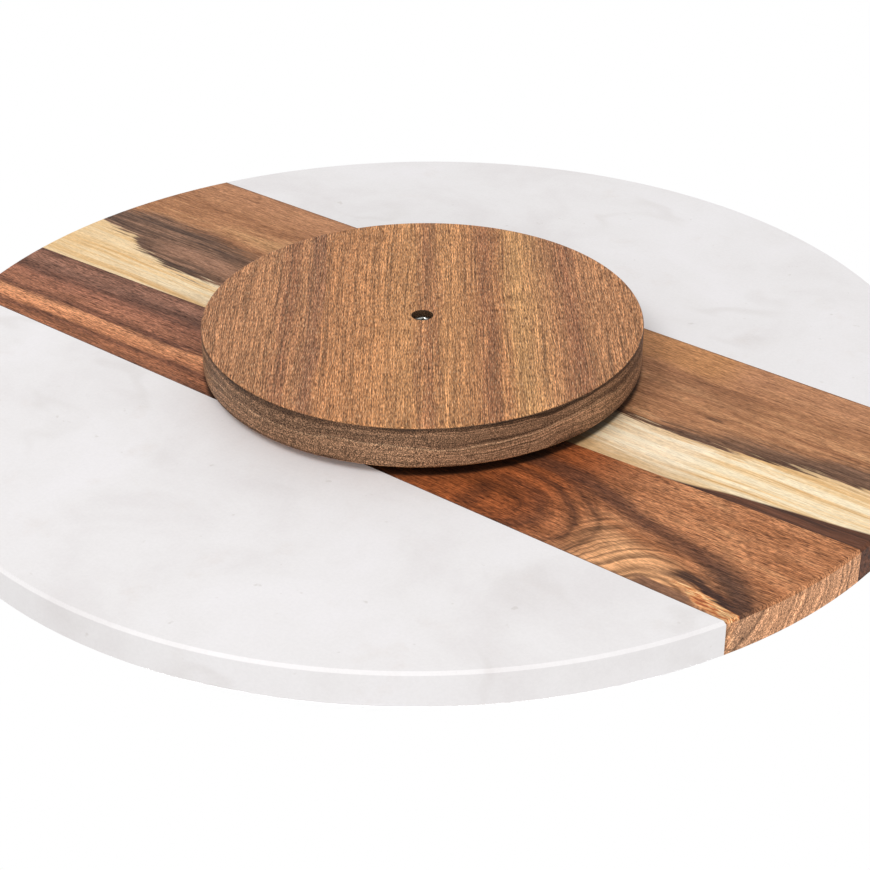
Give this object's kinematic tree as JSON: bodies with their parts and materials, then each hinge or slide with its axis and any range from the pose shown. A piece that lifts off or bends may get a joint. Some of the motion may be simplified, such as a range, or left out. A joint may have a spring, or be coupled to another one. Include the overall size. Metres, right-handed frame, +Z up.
{
  "type": "lazy susan turntable",
  "caption": "Round serving board of white marble and acacia that spins on a smaller wooden base disc by a hidden ball bearing and a centre pivot screw.",
  "frame": {"origin": "centre of the base disc's underside, on the axis of rotation", "axes": "+Z up along the axis of rotation from the base to the serving face, so the part stands upright on its base, +X along the acacia band at rest; the picture shows the part turned over"},
  "size_m": [0.381, 0.381, 0.0324],
  "materials": {
    "marble": "honed white marble with faint grey clouding",
    "acacia_wide": "oiled acacia, brown heartwood with a cream sapwood edge",
    "acacia_narrow": "oiled acacia, red-brown with curly figure",
    "base_wood": "dry sanded hardwood with straight streaks",
    "dowel_wood": "plain beech",
    "pin_steel": "ground steel",
    "insert_brass": "turned brass",
    "race_steel": "zinc plated sheet steel",
    "screw_steel": "zinc plated steel",
    "pivot_steel": "zinc plated steel",
    "bush_bronze": "sintered bronze",
    "nylon": "natural nylon",
    "ball_steel": "polished steel"
  },
  "bodies": {
    "base": {"base_disc": "base_wood", "lower_race_plate": "race_steel", "lower_race_screws": "screw_steel", "pivot_bush": "bush_bronze", "thrust_washer": "nylon"},
    "board": {"marble_segment_front": "marble", "marble_segment_back": "marble", "acacia_stave_wide": "acacia_wide", "acacia_stave_narrow": "acacia_narrow", "front_joint_pins": "pin_steel", "back_joint_pins": "pin_steel", "stave_dowels": "dowel_wood", "threaded_insert": "insert_brass", "upper_race_plate": "race_steel", "upper_race_screws": "screw_steel", "pivot_screw": "pivot_steel"},
    "ball_set": {"ball_cage": "nylon", "bearing_balls": "ball_steel"}
  },
  "joints": [
    {"name": "board_spin", "type": "hinge", "parent": "base", "child": "board", "pos_m": [0, 0, 0.0189], "axis": [0, 0, 1], "continuous": true},
    {"name": "ball_set_spin", "type": "hinge", "parent": "base", "child": "ball_set", "pos_m": [0, 0, 0.01517], "axis": [0, 0, 1], "continuous": true}
  ],
  "couplings": [
    {"joint": "ball_set_spin", "follows": "board_spin", "ratio": 0.5}
  ]
}
